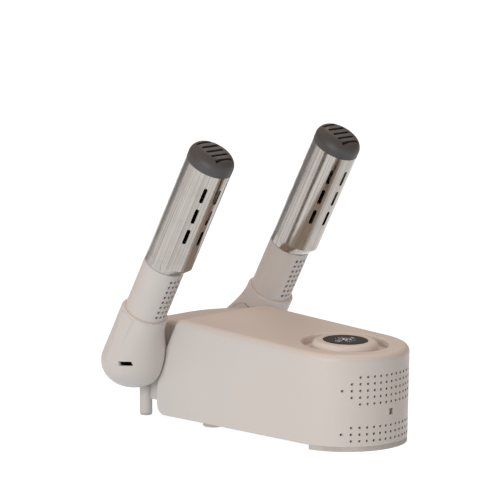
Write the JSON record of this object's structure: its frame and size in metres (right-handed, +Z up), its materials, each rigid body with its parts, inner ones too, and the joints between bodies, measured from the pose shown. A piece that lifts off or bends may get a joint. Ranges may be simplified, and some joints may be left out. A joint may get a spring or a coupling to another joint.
{
  "type": "boot dryer",
  "caption": "Free-standing warm-air boot dryer: round-nosed housing with a dial, vented nose and swivelling, extending steel-topped air arms at the rear.",
  "frame": {"origin": "on the floor under the middle of the whole object's box", "axes": "+X from the arm end to the round nose, +Y to the left side, +Z up"},
  "size_m": [0.2541, 0.1834, 0.2389],
  "materials": {
    "shell_white": "fine satin moulded plastic, warm white",
    "hub_white": "fine satin moulded plastic, warm white",
    "arm_white": "fine satin moulded plastic, warm white",
    "tube_white": "fine satin moulded plastic, warm white",
    "dial_white": "smooth satin plastic",
    "display_black": "gloss black lens with a printed clear face",
    "polished_steel": "polished stainless steel tube",
    "cap_grey": "satin dark grey heat-resistant plastic",
    "foot_rubber": "soft matte rubber",
    "seal_rubber": "soft matte rubber",
    "inlet_plastic": "black moulded plastic",
    "pin_brass": "nickel-plated pins",
    "filter_mesh": "open-cell foam",
    "inner_plastic": "plain moulded plastic",
    "motor_steel": "zinc-plated steel",
    "screw_steel": "zinc-plated steel",
    "impeller_black": "plain moulded plastic",
    "heater_frame": "heat-resistant plastic",
    "ceramic": "fired ceramic",
    "fin_aluminium": "plain sheet",
    "circuit_board": "solder-resist green",
    "components": "moulded component bodies"
  },
  "bodies": {
    "base": {"upper_housing": "shell_white", "base_tray": "shell_white", "base_screws": "screw_steel", "nose_foot": "foot_rubber", "side_feet": "foot_rubber", "rear_legs": "hub_white", "rear_leg_pads": "foot_rubber", "rear_hub": "hub_white", "hub_floor": "hub_white", "mains_inlet": "inlet_plastic", "inlet_pins": "pin_brass", "intake_filter": "filter_mesh", "filter_frame": "inner_plastic", "blower_housing": "inner_plastic", "blower_cover": "inner_plastic", "fan_motor": "motor_steel", "heater_frame": "heater_frame", "heater_bars": "ceramic", "heater_fins": "fin_aluminium", "thermal_cutout": "motor_steel", "air_manifold": "inner_plastic", "control_board": "circuit_board", "board_components": "components", "display_board": "circuit_board", "button_spring": "motor_steel", "left_spigot": "inner_plastic", "right_spigot": "inner_plastic", "left_friction_washer": "seal_rubber", "right_friction_washer": "seal_rubber", "left_retaining_ring": "screw_steel", "right_retaining_ring": "screw_steel"},
    "fan": {"motor_shaft": "motor_steel", "impeller": "impeller_black"},
    "dial": {"dial_ring": "dial_white"},
    "display_button": {"display_carrier": "dial_white", "display_lens": "display_black"},
    "left_arm": {"left_elbow_shell": "arm_white", "left_elbow_plate": "arm_white", "left_elbow_screws": "screw_steel", "left_vent_tube": "tube_white", "left_tube_guide": "inner_plastic"},
    "right_arm": {"right_elbow_shell": "arm_white", "right_elbow_plate": "arm_white", "right_elbow_screws": "screw_steel", "right_vent_tube": "tube_white", "right_tube_guide": "inner_plastic"},
    "left_head": {"left_head_stem": "polished_steel", "left_stem_seal": "seal_rubber", "left_steel_head": "polished_steel", "left_head_cap": "cap_grey"},
    "right_head": {"right_head_stem": "polished_steel", "right_stem_seal": "seal_rubber", "right_steel_head": "polished_steel", "right_head_cap": "cap_grey"}
  },
  "joints": [
    {"name": "left_arm_swivel", "type": "hinge", "parent": "base", "child": "left_arm", "pos_m": [-0.103, 0, 0.05], "axis": [0, 1, 0], "range_deg": [-29, 61]},
    {"name": "left_head_slide", "type": "slide", "parent": "left_arm", "child": "left_head", "axis": [0.4848, 0, 0.8746], "range_m": [0, 0.03]},
    {"name": "right_arm_swivel", "type": "hinge", "parent": "base", "child": "right_arm", "pos_m": [-0.103, 0, 0.05], "axis": [0, 1, 0], "range_deg": [-29, 61]},
    {"name": "right_head_slide", "type": "slide", "parent": "right_arm", "child": "right_head", "axis": [0.4848, 0, 0.8746], "range_m": [0, 0.03]},
    {"name": "dial_turn", "type": "hinge", "parent": "base", "child": "dial", "pos_m": [0.076, 0, 0.0788], "axis": [0.0471, 0, 0.9989], "continuous": true},
    {"name": "display_press", "type": "slide", "parent": "base", "child": "display_button", "axis": [-0.0471, 0, -0.9989], "range_m": [0, 0.001], "stiffness_N_per_m": 900, "springref_m": -0.0006},
    {"name": "fan_spin", "type": "hinge", "parent": "base", "child": "fan", "pos_m": [0.022, 0, 0.03], "axis": [0, 0, 1], "continuous": true}
  ]
}
